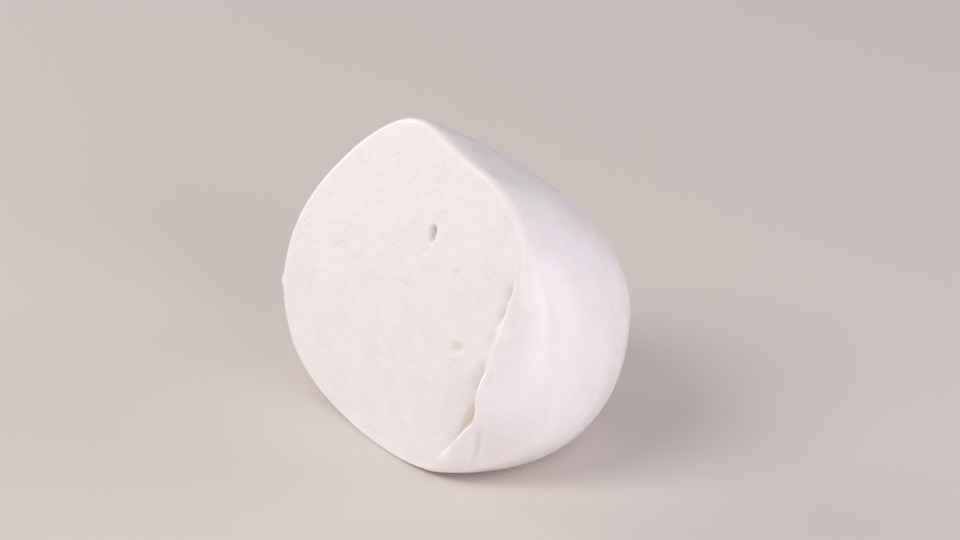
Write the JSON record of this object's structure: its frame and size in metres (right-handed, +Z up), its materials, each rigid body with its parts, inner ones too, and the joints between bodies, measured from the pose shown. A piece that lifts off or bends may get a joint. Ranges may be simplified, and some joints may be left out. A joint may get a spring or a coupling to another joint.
{
  "type": "half mozzarella ball",
  "caption": "Half of a large fresh mozzarella ball, lying on its round white skin with the flat cut face leaning back.",
  "frame": {"origin": "on the ground under the middle of the part's box", "axes": "+X across the cut face to its right, +Y from the cut face to the back of the skin, +Z up"},
  "size_m": [0.1072, 0.0686, 0.073],
  "materials": {
    "cheese": "moist white skin with a soft sheen, and a matt ivory cut face"
  },
  "bodies": {
    "root": {"half_ball": "cheese"}
  },
  "joints": []
}
